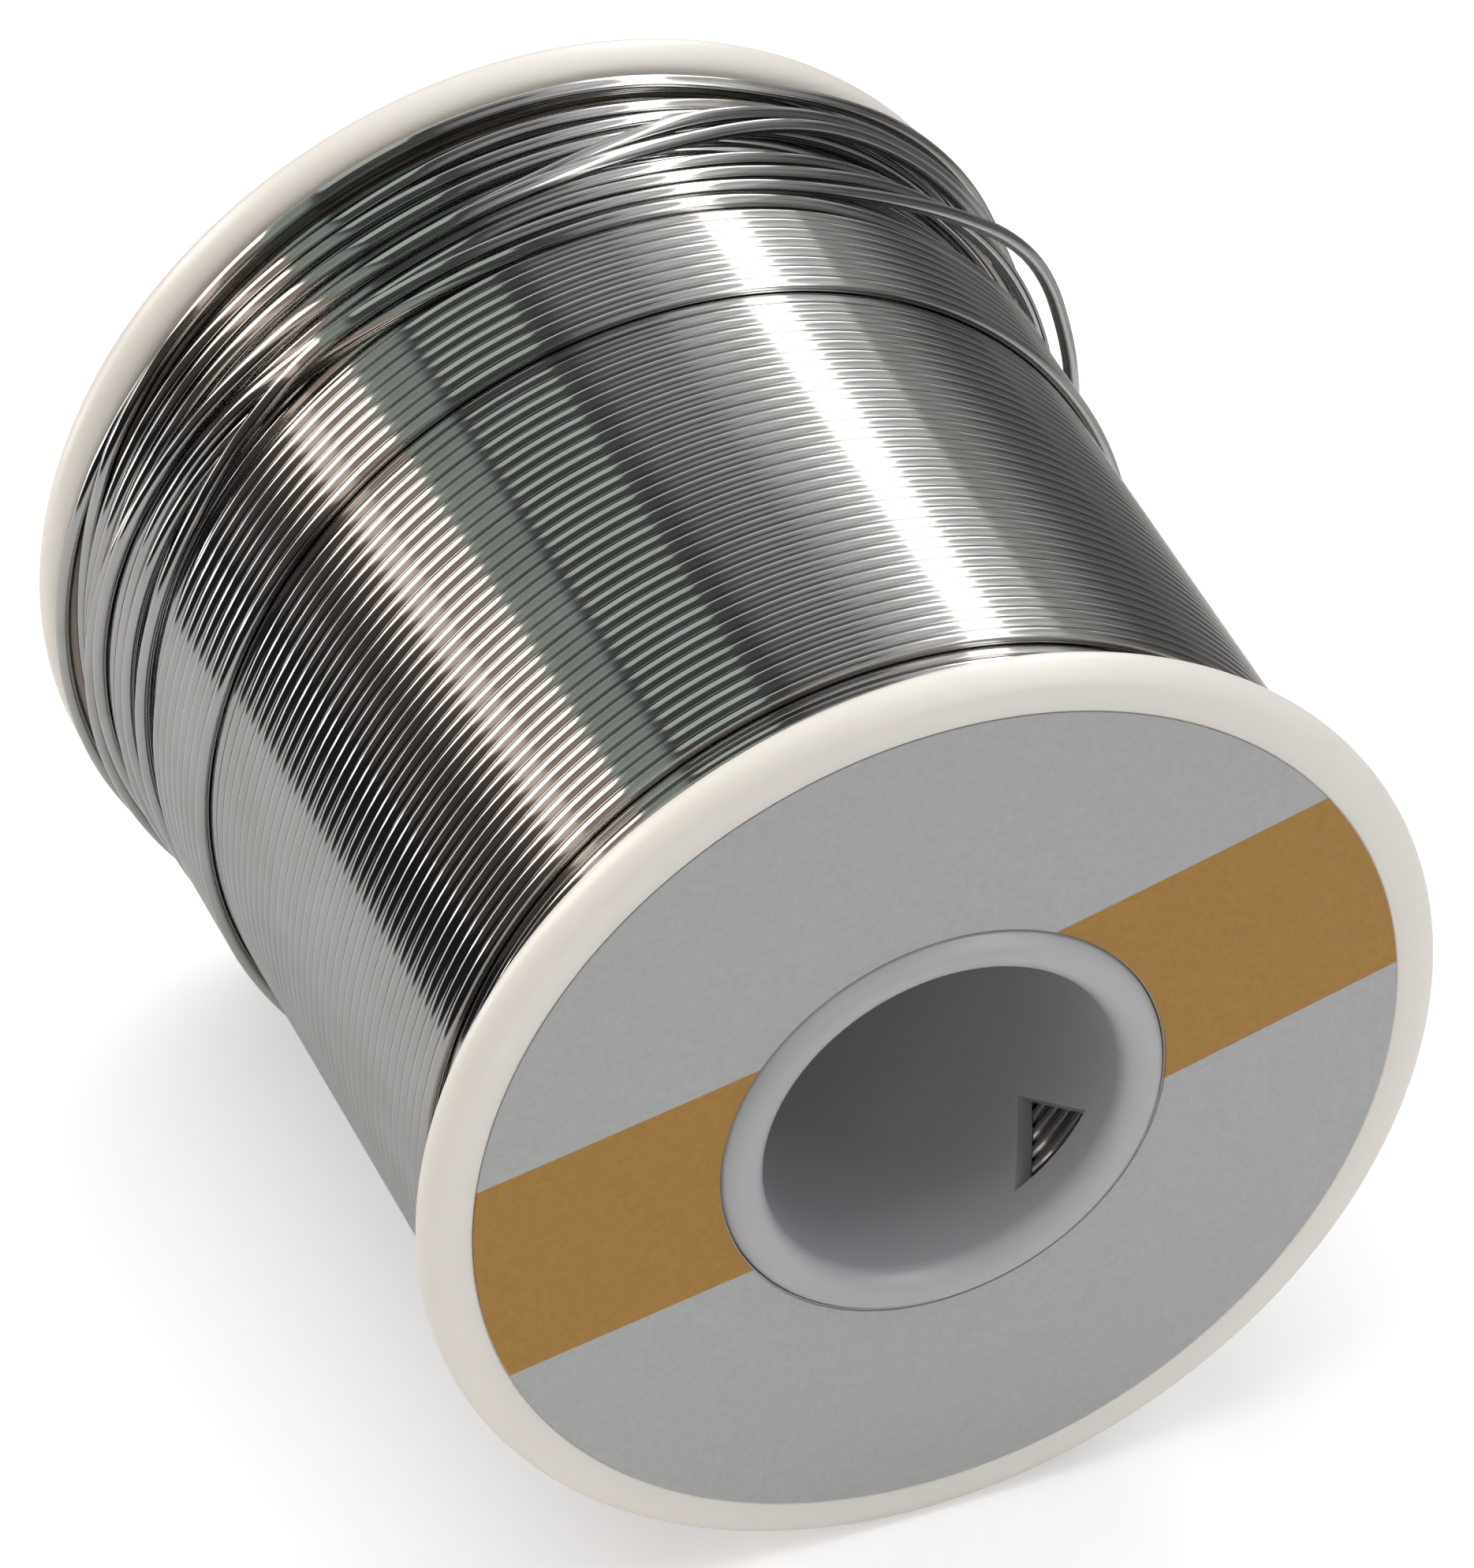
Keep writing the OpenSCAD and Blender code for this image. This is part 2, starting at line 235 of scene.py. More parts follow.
# Each band is a painted highlight or painted shade in the wire's reflection. The lamp, window, pane and frame
# named beside them are not mirrored by the wire: their reflections are painted here.
for light in (
    ((38, 42, 60, 68), -0.45, 0.22, "#4c4c4a", 1.0, 0.2),           # dark band on the right
    ((87, 93, 102, 106), -0.45, 0.2, "#606060", 1.0, 0.15),         # dark band left of the lamp
    ((42, 50, 64, 69), 0.1, 0.24, "#ffffff", 1.1, 0.18),            # light line on the right
    ((82, 84, 106, 108), 0.12, 0.15, "#ffffff", 1.0, 0.08),         # light line left of the lamp
    ((105, 106, 116.5, 117.5), 0.1, 0.5, "#dbe6de", 1.0, 0.1),      # greenish pane
    ((130.5, 131.5, 133, 136), 0.0, 1.3, "#f0dcd0", 1.1),           # window frame
    ((134, 136, 155, 158), 0.12, 0.15, "#fffaf4", 2.4, 0.08),       # light line on the left
    ((124.4, 125, 134, 143), 0.1, 0.44, "#fffaf2", 5.0, 0.12),      # window
    ((68.6, 69.2, 83, 88), 0.08, 0.18, "#ffffff", 2.2, 0.1),        # light line beside the ceiling lamp
    ((68, 77.5, 80, 88), 0.1, 0.55, "#ffffff", 3.5, 0.3),           # the ceiling lamp's glow
    ((70, 77.5, 80, 86), -0.9, 0.4, "#ffffff", 3.5, 0.3),           # its glow low on each turn's near side
    ((75.7, 76.9, 80.2, 81.2), 0.0, 1.3, "#ffffff", 5.0),           # the ceiling lamp itself
):
    seen = painted_band(seen, *light)
tree.links.new(seen, glow.inputs["Color"])
room_form = bmesh.new()
bmesh.ops.create_uvsphere(room_form, u_segments=48, v_segments=24, radius=2.2)
mirrored_only(staged("painted_reflections_shell", room_form, room_painted_reflections))

# A low ring of card stands round the spool and glows, so that the wire's flanks mirror it
# in place of the room: it paints their reflections. It is painted by the bearing in degrees,
# counted from the right towards the far flange: a painted grey reflection on the right, with
# a lighter foot, and painted black shade behind and on the left, with one bright bar there,
# a painted glint.
card_r, card_h = 0.13, 0.055
card_middle = (-0.045, -0.01, table_z + card_h / 2)
# Painted shade: black in the wire's reflection.
painted_shade_black = "#18181b"
# Painted glint: a white bar in the wire's reflection.
painted_glint_bar = ((127, painted_shade_black), (132, "#ffffff"), (144, "#ffffff"), (149, painted_shade_black))
# Painted reflection tones at the card's foot and top.
foot_tones = ((-100, painted_shade_black), (-45, "#838280"), (15, "#8f8e8c"), (32, "#6a6866"), (62, "#6a6866"),
              (100, painted_shade_black))
top_tones = ((-100, painted_shade_black), (-60, "#525150"), (25, "#525150"), (38, "#62605f"), (62, "#62605f"),
             (100, painted_shade_black))

card_painted_reflections, tree, glow = glowing("painted_reflection_card")
glow.inputs["Strength"].default_value = 2.2
place = add(tree, "ShaderNodeTexCoord")
axes = add(tree, "ShaderNodeSeparateXYZ", {}, {0: place.outputs["Object"]})
bearing = add(tree, "ShaderNodeMath", {"operation": "ARCTAN2"}, {0: axes.outputs["Y"], 1: axes.outputs["X"]})
across = add(tree, "ShaderNodeMapRange", {"From Min": -math.pi, "From Max": math.pi},
             {"Value": bearing.outputs["Value"]})
rise = add(tree, "ShaderNodeMapRange", {"From Min": -0.003, "From Max": 0.009}, {"Value": axes.outputs["Z"]})
tones = []
for colours in (foot_tones, top_tones):
    ramp = add(tree, "ShaderNodeValToRGB", {}, {"Fac": across.outputs["Result"]})
    stops(ramp, *((0.5 + at / 360, colour) for at, colour in colours + painted_glint_bar))
    tones.append(ramp.outputs["Color"])
level = add(tree, "ShaderNodeMix", {"data_type": "RGBA"},
            {"Factor": rise.outputs["Result"], 6: tones[0], 7: tones[1]})
tree.links.new(level.outputs[2], glow.inputs["Color"])
card_form = bmesh.new()
bmesh.ops.create_cone(card_form, segments=96, radius1=card_r, radius2=card_r, depth=card_h)
bmesh.ops.translate(card_form, verts=card_form.verts, vec=card_middle)
mirrored_only(staged("low_painted_reflection_card", card_form, card_painted_reflections))

# Each lamp faces the spool: its place, the direction of its long side, long and short
# side in metres, power in watts, colour, and whether the wire mirrors it
for name, spot, along, size, watts, colour, glints in (
    ("right", (0.50, 0.15, 0.57), (0.10, 0.87, -0.10), (1.5, 0.12), 2.45, "#ffffff", False),
    ("left", (-0.54, 0.63, 0.34), (-0.42, -0.76, 0.50), (1.0, 0.27), 2.2, "#fff2e6", False),
    ("low_glint", (-0.111, 0.094, -0.006), (0.77, 0.457, -0.436), (0.06, 0.009), 0.009, "#fff4e4", True),
    ("overhead", (-0.1, 0.1, 0.9), (1.0, 0.0, 0.0), (0.9, 0.9), 4.65, "#ffffff", False),
    ("front", (-0.4, -0.85, 0.35), (1.0, -0.4, 0.0), (0.7, 0.5), 1.4, "#fff8f0", False),
    ("low_front", (0.22, -0.42, 0.02), (1.0, 0.4, 0.0), (0.35, 0.25), 0.25, "#ffffff", False),
):
    lamp = bpy.data.lights.new(name, "AREA")
    lamp.shape = "RECTANGLE"
    lamp.size, lamp.size_y = size
    lamp.energy = watts
    lamp.color = linear(colour)[:3]
    lamp_object = bpy.data.objects.new(name, lamp)
    out = Vector(spot).normalized()
    side = Vector(along)
    side = (side - side.dot(out) * out).normalized()
    turned = Matrix((side, out.cross(side), out)).transposed()
    lamp_object.matrix_world = Matrix.Translation(spot) @ turned.to_4x4()
    lamp_object.visible_camera = False
    lamp_object.visible_glossy = glints
    scene.collection.objects.link(lamp_object)

# ---------------------------------------------------------------- barrel
# The tube in the middle: injection moulded polystyrene, with a bore that turns on a
# spindle, rounded ends that stand out through the flanges, and a three-sided notch
# in its wall where the wire's start was held.


def moulded(name, dark, pale, soft):
    """Moulded polystyrene: smooth and half glossy, a little cloudy, and it lets some light in. Its
    clouds are 14 mm across, and its skin is drawn with a grain of 0.7 mm, coarse enough to show."""
    plastic, tree, surface = new_finish(name)
    surface.inputs["IOR"].default_value = 1.59
    surface.inputs["Subsurface Weight"].default_value = soft
    surface.inputs["Subsurface Radius"].default_value = (1.0, 0.85, 0.7)
    surface.inputs["Subsurface Scale"].default_value = 0.002
    place = add(tree, "ShaderNodeTexCoord")
    cloud = add(tree, "ShaderNodeTexNoise", {"Scale": 70.0, "Detail": 3.0},
                {"Vector": place.outputs["Object"]})
    tint = add(tree, "ShaderNodeValToRGB", {}, {"Fac": cloud.outputs["Fac"]})
    stops(tint, (0.3, dark), (0.7, pale))
    tree.links.new(tint.outputs["Color"], surface.inputs["Base Color"])
    grain = add(tree, "ShaderNodeTexNoise", {"Scale": 1400.0, "Detail": 2.0},
                {"Vector": place.outputs["Object"]})
    gloss = add(tree, "ShaderNodeMapRange", {"To Min": 0.3, "To Max": 0.42}, {"Value": grain.outputs["Fac"]})
    tree.links.new(gloss.outputs["Result"], surface.inputs["Roughness"])
    skin = add(tree, "ShaderNodeBump", {"Strength": 0.06, "Distance": 0.00002},
               {"Height": grain.outputs["Fac"]})
    tree.links.new(skin.outputs["Normal"], surface.inputs["Normal"])
    return plastic


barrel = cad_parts["barrel"]
barrel.data.materials.clear()
barrel.data.materials.append(moulded("grey_white_polystyrene", "#b1b2b5", "#b9babd", 0.1))

# ---------------------------------------------------------------- flanges
# Two moulded discs pressed over the barrel's ends: a full-round rim, a face that
# slopes out towards the barrel, and a shallow recess for the paper label.

flange_r, rim_t, rims_half = 0.027, 0.0024, 0.0275
recess_r, hole_r = 0.0246, 0.01182
seat_rim, seat_hole = 0.02738, 0.02788
face_rim, face_hub = 0.0251, 0.02575
edge_break = 0.00012


def revolve(name, outline, material, segments=256):
    """A closed ring with that outline of radii and places along the spool."""
    form = bmesh.new()
    rings = []
    for i in range(segments):
        turn = 2 * math.pi * i / segments
        rings.append([form.verts.new((r * math.cos(turn), y, r * math.sin(turn))) for r, y in outline])
    for i in range(segments):
        here, after = rings[i], rings[(i + 1) % segments]
        for k in range(len(outline)):
            form.faces.new((here[k], here[k - 1], after[k - 1], after[k]))
    bmesh.ops.recalc_face_normals(form, faces=form.faces)
    mesh = bpy.data.meshes.new(name)
    form.to_mesh(mesh)
    form.free()
    mesh.shade_smooth()
    mesh.set_sharp_from_angle(angle=math.radians(40))
    mesh.materials.append(material)
    piece = bpy.data.objects.new(name, mesh)
    scene.collection.objects.link(piece)
    return piece


def seated(piece, node):
    """Fixes a piece to the spool in place of its CAD node."""
    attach(piece, "root")
    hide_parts(node)


def arc(centre_r, centre_y, radius, start, end, steps):
    """Points of an arc in an outline, from one angle in degrees to another."""
    angles = [math.radians(start + (end - start) * i / steps) for i in range(steps + 1)]
    return [(centre_r + radius * math.cos(angle), centre_y + radius * math.sin(angle)) for angle in angles]


rim_r = rim_t / 2
flange_outline = (
    [(hole_r, face_hub), (recess_r, face_rim)]
    + arc(flange_r - rim_r, rims_half - rim_r, rim_r, -90, 90, 24)
    + arc(recess_r + edge_break, rims_half - edge_break, edge_break, 90, 180, 5)
    + [(recess_r, seat_rim), (hole_r, seat_hole)])
cream = moulded("cream_white_polystyrene", "#eae5dd", "#efeae3", 0.4)
for name, side in (("near_flange", -1), ("far_flange", 1)):
    flange = revolve(name + "_moulding", [(r, side * y) for r, y in flange_outline], cream)
    seated(flange, name)

# ---------------------------------------------------------------- labels
# A ring of coated paper glued in each flange's recess, printed grey all over with
# one plain gold band across it.

label_r, label_hole_r, paper_t = 0.02456, 0.01187, 0.00012
band_low, band_high, band_slant, ink_edge = -0.0038, 0.0088, 13, 0.00003

# Printed coated paper: half matt, with flat ink. Its fibres are 0.4 mm apart, coarser
# than real ones, and show as a faint mottle.
paper, tree, surface = new_finish("printed_coated_paper")
surface.inputs["IOR"].default_value = 1.5
surface.inputs["Roughness"].default_value = 0.55
place = add(tree, "ShaderNodeTexCoord")
turned = add(tree, "ShaderNodeMapping", {"Rotation": (0, math.radians(band_slant), 0)},
             {"Vector": place.outputs["Object"]})
upward = add(tree, "ShaderNodeSeparateXYZ", {}, {0: turned.outputs["Vector"]})
from_low = add(tree, "ShaderNodeMapRange", {"From Min": band_low - ink_edge, "From Max": band_low + ink_edge},
               {"Value": upward.outputs["Z"]})
to_high = add(tree, "ShaderNodeMapRange",
              {"From Min": band_high + ink_edge, "From Max": band_high - ink_edge},
              {"Value": upward.outputs["Z"]})
band = add(tree, "ShaderNodeMath", {"operation": "MULTIPLY"},
           {0: from_low.outputs["Result"], 1: to_high.outputs["Result"]})
fibre = add(tree, "ShaderNodeTexNoise", {"Scale": 2600.0, "Detail": 4.0},
            {"Vector": place.outputs["Object"]})
grey = add(tree, "ShaderNodeValToRGB", {}, {"Fac": fibre.outputs["Fac"]})
stops(grey, (0.3, "#abacac"), (0.7, "#b3b4b4"))
gold = add(tree, "ShaderNodeValToRGB", {}, {"Fac": fibre.outputs["Fac"]})
stops(gold, (0.3, "#a3772e"), (0.7, "#ac8036"))
ink = add(tree, "ShaderNodeMix", {"data_type": "RGBA"},
          {"Factor": band.outputs["Value"], 6: grey.outputs["Color"], 7: gold.outputs["Color"]})
tree.links.new(ink.outputs[2], surface.inputs["Base Color"])
relief = add(tree, "ShaderNodeBump", {"Strength": 0.05, "Distance": 0.00001},
             {"Height": fibre.outputs["Fac"]})
tree.links.new(relief.outputs["Normal"], surface.inputs["Normal"])

seat_slope = (seat_hole - seat_rim) / (recess_r - hole_r)
hole_y = seat_rim + (recess_r - label_hole_r) * seat_slope
edge_y = seat_rim + (recess_r - label_r) * seat_slope
label_outline = [(label_hole_r, hole_y), (label_r, edge_y), (label_r, edge_y + paper_t),
                 (label_hole_r, hole_y + paper_t)]
for name, side in (("near_label", -1), ("far_label", 1)):
    label = revolve(name + "_paper", [(r, side * y) for r, y in label_outline], paper)
    seated(label, name)

# ---------------------------------------------------------------- first layer
# The innermost turns of the solder wire: tin-lead alloy drawn to 0.8 mm round a flux
# core, and wound tight on the barrel. They show only through the starting notch.

wire_r, pitch = 0.0004, 0.00083
first_r, first_turns = 0.01102, 59
unevenness, wander = 0.00002, 0.00004

# Drawn tin-lead wire: a bright grey metal, its mirror blurred by the die's fine lines
# along the wire. The lines are 0.11 mm apart, coarser than real ones so that they show,
# and the metal's haze changes over 4 mm.
solder, tree, surface = new_finish("drawn_tin_lead_wire")
surface.inputs["Metallic"].default_value = 1.0
surface.inputs["Anisotropic"].default_value = 0.6
surface.inputs["Anisotropic Rotation"].default_value = 0.25
round_spool = add(tree, "ShaderNodeTangent", {"direction_type": "RADIAL", "axis": "Y"})
tree.links.new(round_spool.outputs["Tangent"], surface.inputs["Tangent"])
place = add(tree, "ShaderNodeTexCoord")
axes = add(tree, "ShaderNodeSeparateXYZ", {}, {0: place.outputs["Object"]})
angle = add(tree, "ShaderNodeMath", {"operation": "ARCTAN2"}, {0: axes.outputs["Z"], 1: axes.outputs["X"]})
radius = add(tree, "ShaderNodeVectorMath", {"operation": "LENGTH"}, {0: place.outputs["Object"]})
lengthwise = add(tree, "ShaderNodeMath", {"operation": "MULTIPLY", 1: 0.0012}, {0: angle.outputs["Value"]})
drawn = add(tree, "ShaderNodeCombineXYZ", {},
            {"X": lengthwise.outputs["Value"], "Y": axes.outputs["Y"], "Z": radius.outputs["Value"]})
die_lines = add(tree, "ShaderNodeTexNoise", {"Scale": 9000.0, "Detail": 2.0},
                {"Vector": drawn.outputs["Vector"]})
haze = add(tree, "ShaderNodeTexNoise", {"Scale": 260.0, "Detail": 3.0}, {"Vector": place.outputs["Object"]})
metal = add(tree, "ShaderNodeValToRGB", {}, {"Fac": haze.outputs["Fac"]})
stops(metal, (0.3, "#aeadaa"), (0.7, "#b8b7b5"))
tree.links.new(metal.outputs["Color"], surface.inputs["Base Color"])
blur = add(tree, "ShaderNodeMapRange", {"To Min": 0.08, "To Max": 0.13}, {"Value": die_lines.outputs["Fac"]})
tree.links.new(blur.outputs["Result"], surface.inputs["Roughness"])
lines = add(tree, "ShaderNodeBump", {"Strength": 0.08, "Distance": 0.000008},
            {"Height": die_lines.outputs["Fac"]})
tree.links.new(lines.outputs["Normal"], surface.inputs["Normal"])


def wire_tree(name, inputs):
    """A new Geometry Nodes tree with those inputs, each a name, a kind and a value: the tree, the
    node that gives its inputs, and each input's identifier by name."""
    tree = bpy.data.node_groups.new(name, "GeometryNodeTree")
    identifiers = {}
    for label, kind, value in inputs:
        item = tree.interface.new_socket(name=label, in_out="INPUT", socket_type="NodeSocket" + kind)
        if value is not None:
            item.default_value = value
        identifiers[label] = item.identifier
    tree.interface.new_socket(name="Geometry", in_out="OUTPUT", socket_type="NodeSocketGeometry")
    return tree, add(tree, "NodeGroupInput"), identifiers


def swept(tree, given, line):
    """Ends a tree with round wire swept along a line."""
    section = add(tree, "GeometryNodeCurvePrimitiveCircle", {"mode": "RADIUS"},
                  {"Resolution": given.outputs["Wire Sides"], "Radius": given.outputs["Wire Radius"]})
    wire = add(tree, "GeometryNodeCurveToMesh", {},
               {"Curve": line, "Profile Curve": section.outputs["Curve"]})
    smooth = add(tree, "GeometryNodeSetShadeSmooth", {}, {"Geometry": wire.outputs["Mesh"]})
    real = add(tree, "GeometryNodeRealizeInstances", {}, {"Geometry": smooth.outputs["Geometry"]})
    finished = add(tree, "GeometryNodeSetMaterial", {},
                   {"Geometry": real.outputs["Geometry"], "Material": given.outputs["Metal"]})
    add(tree, "NodeGroupOutput", {}, {0: finished.outputs["Geometry"]})


def grown(name, tree, identifiers, values, mesh=None):
    """The plain mesh that a tree makes from those values, as a piece."""
    source = bpy.data.objects.new(name + "_source", mesh or bpy.data.meshes.new(name + "_source"))
    scene.collection.objects.link(source)
    modifier = source.modifiers.new("wire", "NODES")
    modifier.node_group = tree
    for label, value in values.items():
        modifier[identifiers[label]] = value
    bpy.context.view_layer.update()
    depsgraph = bpy.context.evaluated_depsgraph_get()
    result = bpy.data.meshes.new_from_object(source.evaluated_get(depsgraph), depsgraph=depsgraph)
    source.modifiers.remove(modifier)
    bpy.data.objects.remove(source)
    result.name = name
    piece = bpy.data.objects.new(name, result)
    scene.collection.objects.link(piece)
    return piece


# Level turns: rings side by side at the wire's pitch. "Uneven" sets each a little out of
# place, and "Wander" bends each slightly to and fro along the spool.
turns_tree, given, turns_inputs = wire_tree("level_turns", (
    ("Turns", "Int", 10), ("Start", "Float", 0.0), ("Pitch", "Float", pitch),
    ("Winding Radius", "Float", first_r), ("Wire Radius", "Float", wire_r),
    ("Steps Round", "Int", 96), ("Wire Sides", "Int", 12),
    ("Uneven", "Float", unevenness), ("Wander", "Float", wander), ("Seed", "Int", 1),
    ("Metal", "Material", None)))
start = add(turns_tree, "ShaderNodeCombineXYZ", {}, {"Y": given.outputs["Start"]})
step = add(turns_tree, "ShaderNodeCombineXYZ", {}, {"Y": given.outputs["Pitch"]})
row = add(turns_tree, "GeometryNodeMeshLine", {"mode": "OFFSET"},
          {"Count": given.outputs["Turns"], "Start Location": start.outputs["Vector"],
           "Offset": step.outputs["Vector"]})
least = add(turns_tree, "ShaderNodeMath", {"operation": "MULTIPLY", 1: -1.0}, {0: given.outputs["Uneven"]})
chance = add(turns_tree, "FunctionNodeRandomValue", {"data_type": "FLOAT"},
             {2: least.outputs["Value"], 3: given.outputs["Uneven"], "Seed": given.outputs["Seed"]})
nudge = add(turns_tree, "ShaderNodeCombineXYZ", {}, {"Y": chance.outputs[1]})
uneven = add(turns_tree, "GeometryNodeSetPosition", {},
             {"Geometry": row.outputs["Mesh"], "Offset": nudge.outputs["Vector"]})
ring = add(turns_tree, "GeometryNodeCurvePrimitiveCircle", {"mode": "RADIUS"},
           {"Resolution": given.outputs["Steps Round"], "Radius": given.outputs["Winding Radius"]})
upright = add(turns_tree, "GeometryNodeTransform", {"Rotation": (math.pi / 2, 0, 0)},
              {"Geometry": ring.outputs["Curve"]})
placed = add(turns_tree, "GeometryNodeInstanceOnPoints", {},
             {"Points": uneven.outputs["Geometry"], "Instance": upright.outputs["Geometry"]})
rings = add(turns_tree, "GeometryNodeRealizeInstances", {}, {"Geometry": placed.outputs["Instances"]})
where = add(turns_tree, "GeometryNodeInputPosition")
drift = add(turns_tree, "ShaderNodeTexNoise", {"noise_dimensions": "3D", "Scale": 75.0, "Detail": 1.0},
            {"Vector": where.outputs["Position"]})
centred = add(turns_tree, "ShaderNodeMath", {"operation": "SUBTRACT", 1: 0.5}, {0: drift.outputs["Fac"]})
shift = add(turns_tree, "ShaderNodeMath", {"operation": "MULTIPLY"},
            {0: centred.outputs["Value"], 1: given.outputs["Wander"]})
sideways = add(turns_tree, "ShaderNodeCombineXYZ", {}, {"Y": shift.outputs["Value"]})
wandered = add(turns_tree, "GeometryNodeSetPosition", {},
               {"Geometry": rings.outputs["Geometry"], "Offset": sideways.outputs["Vector"]})
swept(turns_tree, given, wandered.outputs["Geometry"])


def level_turns(name, node, turns, start, radius, steps, sides, uneven=unevenness, seed=1):
    """A row of level turns that stands for one CAD node."""
    piece = grown(name, turns_tree, turns_inputs, {
        "Turns": turns, "Start": start, "Winding Radius": radius, "Steps Round": steps, "Wire Sides": sides,
        "Uneven": uneven, "Seed": seed, "Metal": solder})
    seated(piece, node)


level_turns("first_layer_wire", "first_layer", first_turns, start=-(first_turns - 1) * pitch / 2,
            radius=first_r, steps=96, sides=12)

# ---------------------------------------------------------------- inner layers
# Eighteen more layers, each in the grooves of the one below. Only the outermost of
# them shows, as the last turns beside the near flange that the top layer leaves bare.

layer_rise, hidden_layers = 0.0007188, 18
under_r = first_r + hidden_layers * layer_rise
top_r = under_r + layer_rise
top_start = -0.0214
bare_turns, covered_turns = 4, 3
under_start = top_start - (bare_turns - 0.5) * pitch

core_r, core_y = under_r - wire_r / 2, 0.02515
inside_r, collar_r, collar_y, hub_y = 0.01145, 0.0121, 0.0247, 0.0256
half = [(inside_r, collar_y), (collar_r, collar_y), (collar_r, hub_y), (core_r, core_y)]
core = revolve("inner_layers_body", half + [(r, -y) for r, y in reversed(half)], solder, 192)
seated(core, "inner_layers")
level_turns("inner_layers_last_turns", "inner_layers", bare_turns + covered_turns, under_start,
            under_r, steps=144, sides=16, seed=3)

# ---------------------------------------------------------------- top layer
# The last whole layer, wound level and tight from a few turns inside the near
# flange to the far flange.

top_turns = 56
level_turns("top_layer_wire", "top_layer", top_turns, top_start, top_r, steps=144, sides=12, seed=5)

# ---------------------------------------------------------------- extra layer
# A short layer of a few turns of the same wire that runs on over the top one, in its
# grooves. Its first turn lies a little apart from the others.

extra_r = top_r + layer_rise
extra_first, extra_turns = 0.007235, 8
edge_gap, row_gap = 0.00005, 0.00002
extra_last = extra_first + (extra_turns - 1) * pitch
level_turns("extra_layer_edge_turn", "extra_layer", 1, extra_first - edge_gap, extra_r,
            steps=192, sides=16, uneven=0.0, seed=8)
level_turns("extra_layer_wire", "extra_layer", extra_turns - 1, extra_first + pitch + row_gap, extra_r,
            steps=192, sides=16, seed=8)

# ---------------------------------------------------------------- slack turns
# The last turns of the wire have lost their tension and lie over each other against
# the far flange. Each turn rests on those below it.

# How far each turn lies from the far flange's inner face, in millimetres, at stations
# in degrees round the spool, from the right over the top
stations = [5, 28, 50, 64, 80, 96, 114, 132, 148, 162, 176, 200, 240, 300]
flat_rows = [
    [10.8, 11.0, 11.1, 11.1, 11.4, 11.4, 10.7, 9.4, 8.4, 7.9, 7.7, 7.6, 8.2, 9.8],
    [7.8, 7.4, 7.5, 8.0, 8.6, 8.7, 8.9, 8.6, 7.6, 7.0, 6.8, 6.8, 7.2, 7.9],
    [6.6, 6.0, 6.0, 6.7, 7.5, 7.8, 7.9, 7.7, 6.7, 6.1, 5.9, 5.9, 6.3, 7.0],
    [3.9, 3.6, 3.6, 4.1, 4.7, 4.9, 5.0, 4.6, 4.4, 4.1, 3.9, 3.9, 4.0, 4.1],
    [2.9, 2.7, 2.7, 3.1, 3.5, 3.7, 3.6, 3.4, 3.3, 3.2, 3.1, 3.0, 3.0, 3.0],
    [2.0, 1.9, 1.9, 2.2, 2.4, 2.3, 2.6, 2.4, 2.2, 2.2, 2.2, 2.1, 2.1, 2.1],
    [1.3, 1.3, 1.3, 1.2, 1.0, 0.9, 0.9, 1.0, 1.2, 1.3, 1.3, 1.3, 1.3, 1.3]]
cross_rows = [
    [5.0, 4.4, 4.0, 4.6, 6.2, 7.4, 7.7, 7.1, 6.4, 5.8, 5.4, 5.1, 5.0, 5.1],
    [3.0, 2.9, 3.0, 3.7, 5.2, 6.4, 6.8, 6.2, 5.5, 4.9, 4.4, 3.8, 3.2, 3.0]]
outer_row = [0.45] * len(stations)
loop_row = [9.0, 8.1, 8.7, 9.3, 9.7, 9.8, 9.8, 9.8, 9.8, 9.7, 9.7, 9.7, 9.7, 9.6]
rows = [outer_row] + flat_rows + cross_rows + [loop_row]

# Where each turn springs up from the others: how high in millimetres, at what angle,
# and how far to each side of it
still = (0, 0, 1)
springs = [(1.2, 210, 85), still, (0.9, 32, 38), still, still, still, still, (0.8, 32, 38),
           (0.6, 32, 38), (0.5, 32, 38), (1, 24, 42)]
ring_count, evening_passes = 72, 6


def row_value(row, angle):
    """Smooth value of a row at any angle, closed round the spool."""
    count = len(stations)

    def at(k):
        return stations[k % count] + 360 * (k // count)

    if angle < stations[0]:
        angle += 360
    k = max(i for i in range(count) if at(i) <= angle)
    before, low, high, after = (row[(k + step) % count] for step in (-1, 0, 1, 2))
    span = at(k + 1) - at(k)
    t = (angle - at(k)) / span
    start_slope = (high - before) / (at(k + 1) - at(k - 1)) * span
    end_slope = (after - low) / (at(k + 2) - at(k)) * span
    return ((2 * t ** 3 - 3 * t ** 2 + 1) * low + (t ** 3 - 2 * t ** 2 + t) * start_slope
            + (3 * t ** 2 - 2 * t ** 3) * high + (t ** 3 - t ** 2) * end_slope)


def over(r, at, y):
    """Height at which a wire at y rests on a wire at that radius and place."""
    return r + math.sqrt(pitch ** 2 - (y - at) ** 2) if abs(y - at) < pitch else 0


def degrees_apart(a, b):
    """The smaller angle between two directions."""
    return abs((a - b + 180) % 360 - 180)


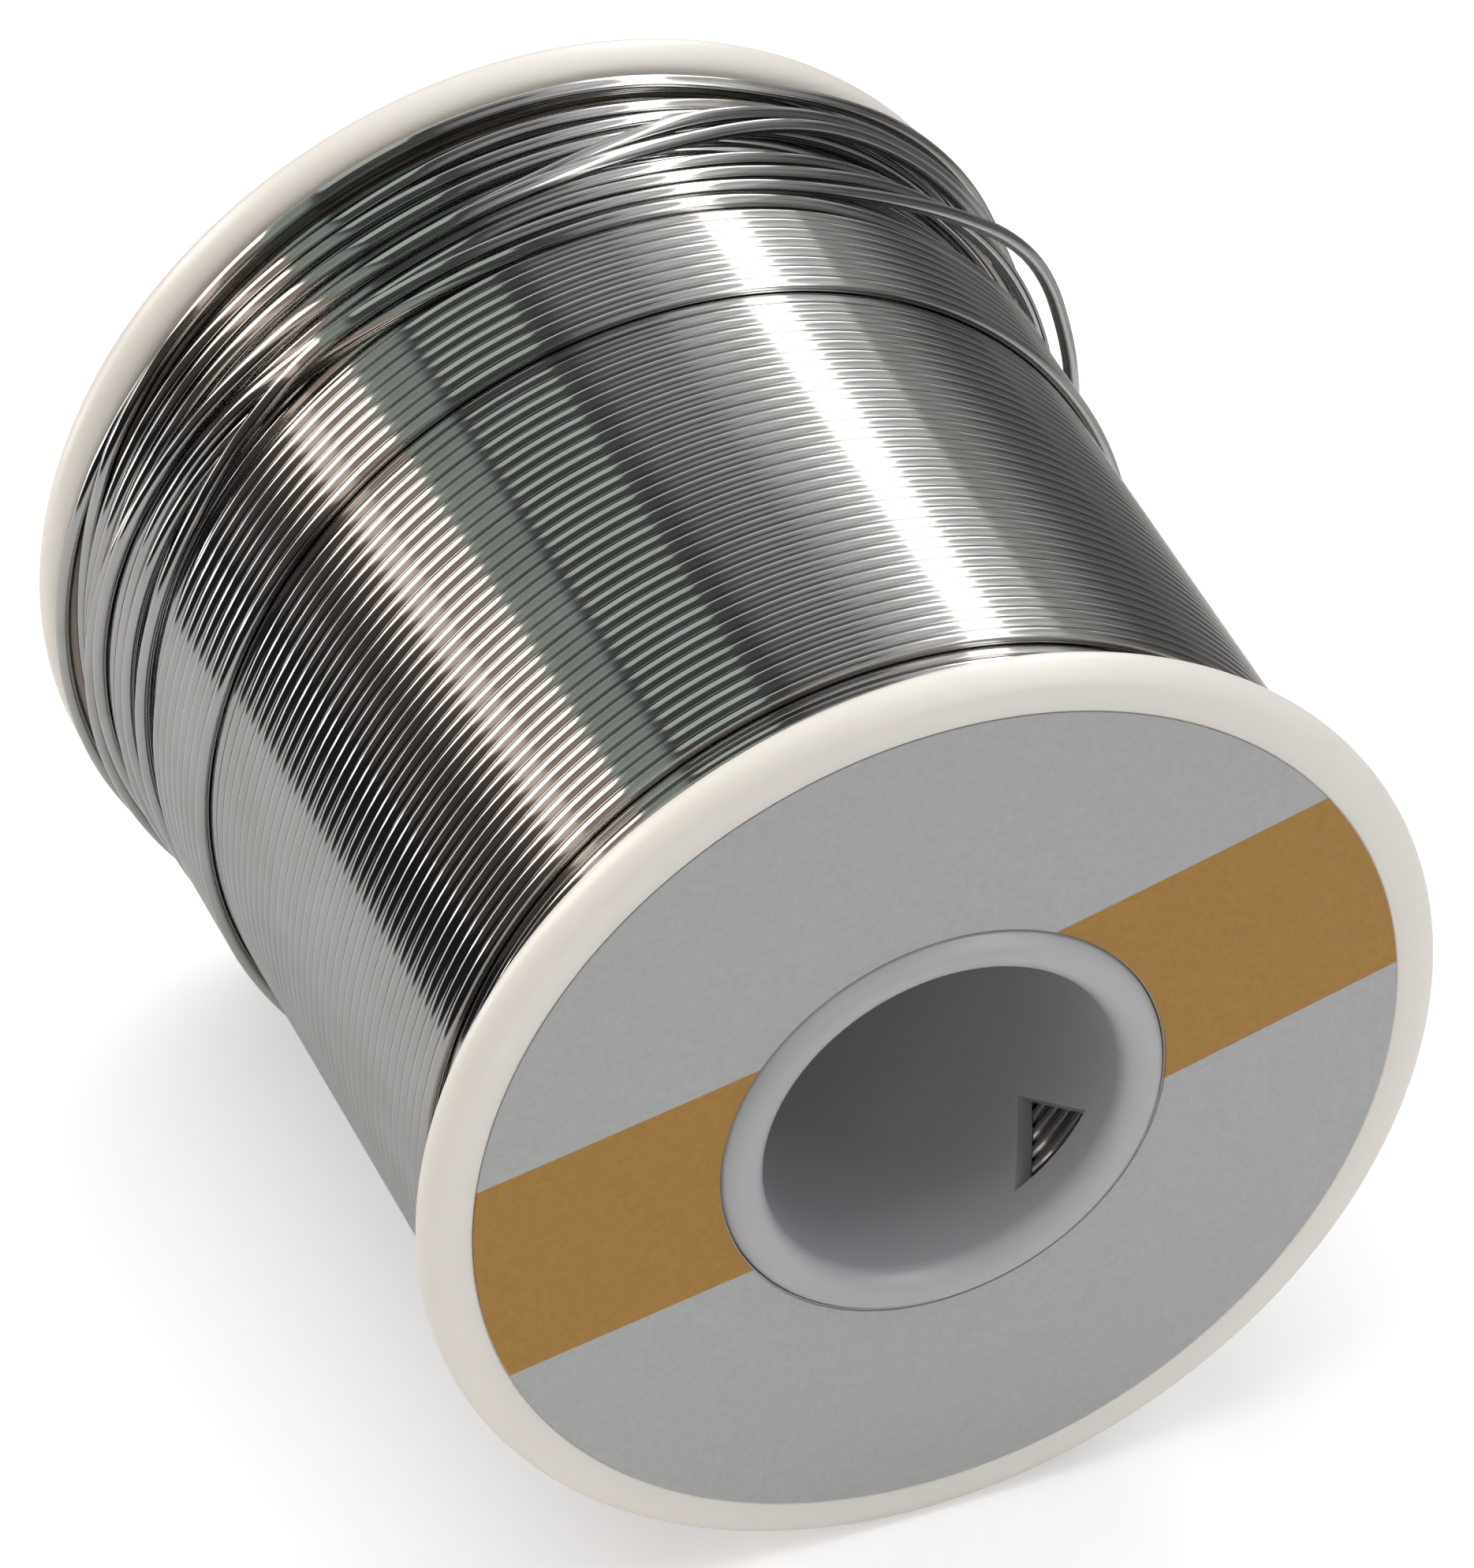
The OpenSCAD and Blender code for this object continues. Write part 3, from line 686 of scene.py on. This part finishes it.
# A turn lies on what is highest below it, and bridges the hollows between
laid = []
for row, (height, at, spread) in zip(rows, springs):
    places, heights = [], []
    for i in range(ring_count):
        y = face_rim - row_value(row, 360 * i / ring_count) / 1000
        on_extra = extra_r + pitch if y < extra_last else over(extra_r, extra_last, y)
        places.append(y)
        heights.append(max([top_r + pitch, on_extra] + [over(*below[i], y) for below in laid]))
    even = [max(heights[i - 1], heights[i], heights[(i + 1) % ring_count]) for i in range(ring_count)]
    for _ in range(evening_passes):
        even = [(even[i - 1] + 2 * even[i] + even[(i + 1) % ring_count]) / 4 for i in range(ring_count)]
    turn = []
    for i in range(ring_count):
        away = degrees_apart(360 * i / ring_count, at)
        sprung = height / 1000 * math.cos(math.radians(90 * away / spread)) ** 2 if away < spread else 0
        turn.append((max(heights[i], even[i]) + sprung, places[i]))
    laid.append(turn)

laid_tree, given, laid_inputs = wire_tree("laid_turns", (
    ("Geometry", "Geometry", None), ("Wire Radius", "Float", wire_r), ("Wire Sides", "Int", 16),
    ("Metal", "Material", None)))
line = add(laid_tree, "GeometryNodeMeshToCurve", {}, {"Mesh": given.outputs["Geometry"]})
swept(laid_tree, given, line.outputs["Curve"])


def laid_wire(name, node, turns, finer=4):
    """Closed slack turns swept through their rings, with smooth points between them."""
    form = bmesh.new()
    for turn in turns:
        points = []
        for i in range(ring_count):
            a, b, c, d = (turn[(i + k) % ring_count] for k in (-1, 0, 1, 2))
            for j in range(finer):
                t = j / finer
                r, y = (0.5 * (2 * b[n] + (c[n] - a[n]) * t + (2 * a[n] - 5 * b[n] + 4 * c[n] - d[n]) * t ** 2
                               + (3 * b[n] - a[n] - 3 * c[n] + d[n]) * t ** 3) for n in (0, 1))
                angle = 2 * math.pi * (i + t) / ring_count
                points.append(form.verts.new((r * math.cos(angle), y, r * math.sin(angle))))
        for k in range(len(points)):
            form.edges.new((points[k - 1], points[k]))
    mesh = bpy.data.meshes.new(name + "_line")
    form.to_mesh(mesh)
    form.free()
    piece = grown(name, laid_tree, laid_inputs, {"Metal": solder}, mesh)
    seated(piece, node)


laid_wire("slack_wire", "slack_turns", laid[1:8])

# ---------------------------------------------------------------- crossing turns
# Two turns of the same wire that run slantwise over the slack ones. Each rests on
# whatever it crosses.

laid_wire("crossing_wire", "crossing_turns", laid[8:10])

# ---------------------------------------------------------------- outermost turn
# The turn of wire that lies against the far flange. It has come loose, and hangs off
# the others on the left.

laid_wire("outermost_wire", "outermost_turn", laid[:1])

# ---------------------------------------------------------------- standing loop
# The last turn of all. Hard drawn wire is springy, and where nothing holds this turn
# it has sprung up into an open loop on the right.

laid_wire("standing_wire", "standing_loop", laid[10:])
